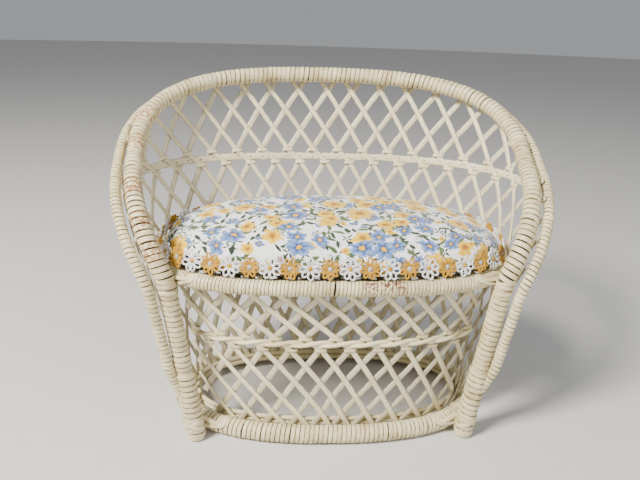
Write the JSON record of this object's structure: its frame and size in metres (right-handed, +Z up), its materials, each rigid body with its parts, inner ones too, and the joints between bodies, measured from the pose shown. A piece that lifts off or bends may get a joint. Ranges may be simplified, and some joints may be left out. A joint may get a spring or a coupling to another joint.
{
  "type": "doll's wicker settee",
  "caption": "Doll's barrel-back settee of bent cane bound with peel, with a diamond splint lattice and a loose oval cushion.",
  "frame": {"origin": "middle of the settee's box, on the floor", "axes": "+X along the width, to the right seen from the front; +Y from front to back; +Z up"},
  "size_m": [0.29, 0.1812, 0.23],
  "materials": {
    "painted_cane": "satin cream paint over wound cane peel and flat splints, worn to brown in places",
    "bare_cane": "unpainted round cane",
    "printed_cotton": "white cotton printed with small blue and yellow flowers",
    "daisy_braid": "braid of gold and white daisies",
    "wadding": "loose stuffing",
    "card": "plain board"
  },
  "bodies": {
    "frame": {"back_band": "painted_cane", "base_reed_lower": "painted_cane", "base_reed_upper": "painted_cane", "base_ring_core": "bare_cane", "base_ring_wrap_back": "painted_cane", "base_ring_wrap_front": "painted_cane", "base_strap_left": "painted_cane", "base_strap_right": "painted_cane", "hoop_core": "bare_cane", "hoop_wrap_left_arm": "painted_cane", "hoop_wrap_right_arm": "painted_cane", "hoop_wrap_top_rail": "painted_cane", "leg_binding_left": "painted_cane", "leg_binding_right": "painted_cane", "outer_rod_core": "bare_cane", "outer_rod_wrap_back": "painted_cane", "outer_rod_wrap_left": "painted_cane", "outer_rod_wrap_right": "painted_cane", "seat_deck": "painted_cane", "seat_reed": "painted_cane", "seat_ring_core": "bare_cane", "seat_ring_wrap_back": "painted_cane", "seat_ring_wrap_front": "painted_cane", "seat_strap_left": "painted_cane", "seat_strap_right": "painted_cane", "skirt_band": "painted_cane", "skirt_lattice_left": "painted_cane", "skirt_lattice_middle": "painted_cane", "skirt_lattice_right": "painted_cane", "wall_lattice_left_back": "painted_cane", "wall_lattice_left_side": "painted_cane", "wall_lattice_middle_back": "painted_cane", "wall_lattice_right_back": "painted_cane", "wall_lattice_right_side": "painted_cane"},
    "cushion": {"cushion_cover": "printed_cotton", "cushion_board": "card", "cushion_filling": "wadding", "cushion_trim": "daisy_braid"}
  },
  "joints": [
    {"name": "cushion_lift", "type": "slide", "parent": "frame", "child": "cushion", "axis": [0, 0, 1], "range_m": [0, 0.12]}
  ]
}
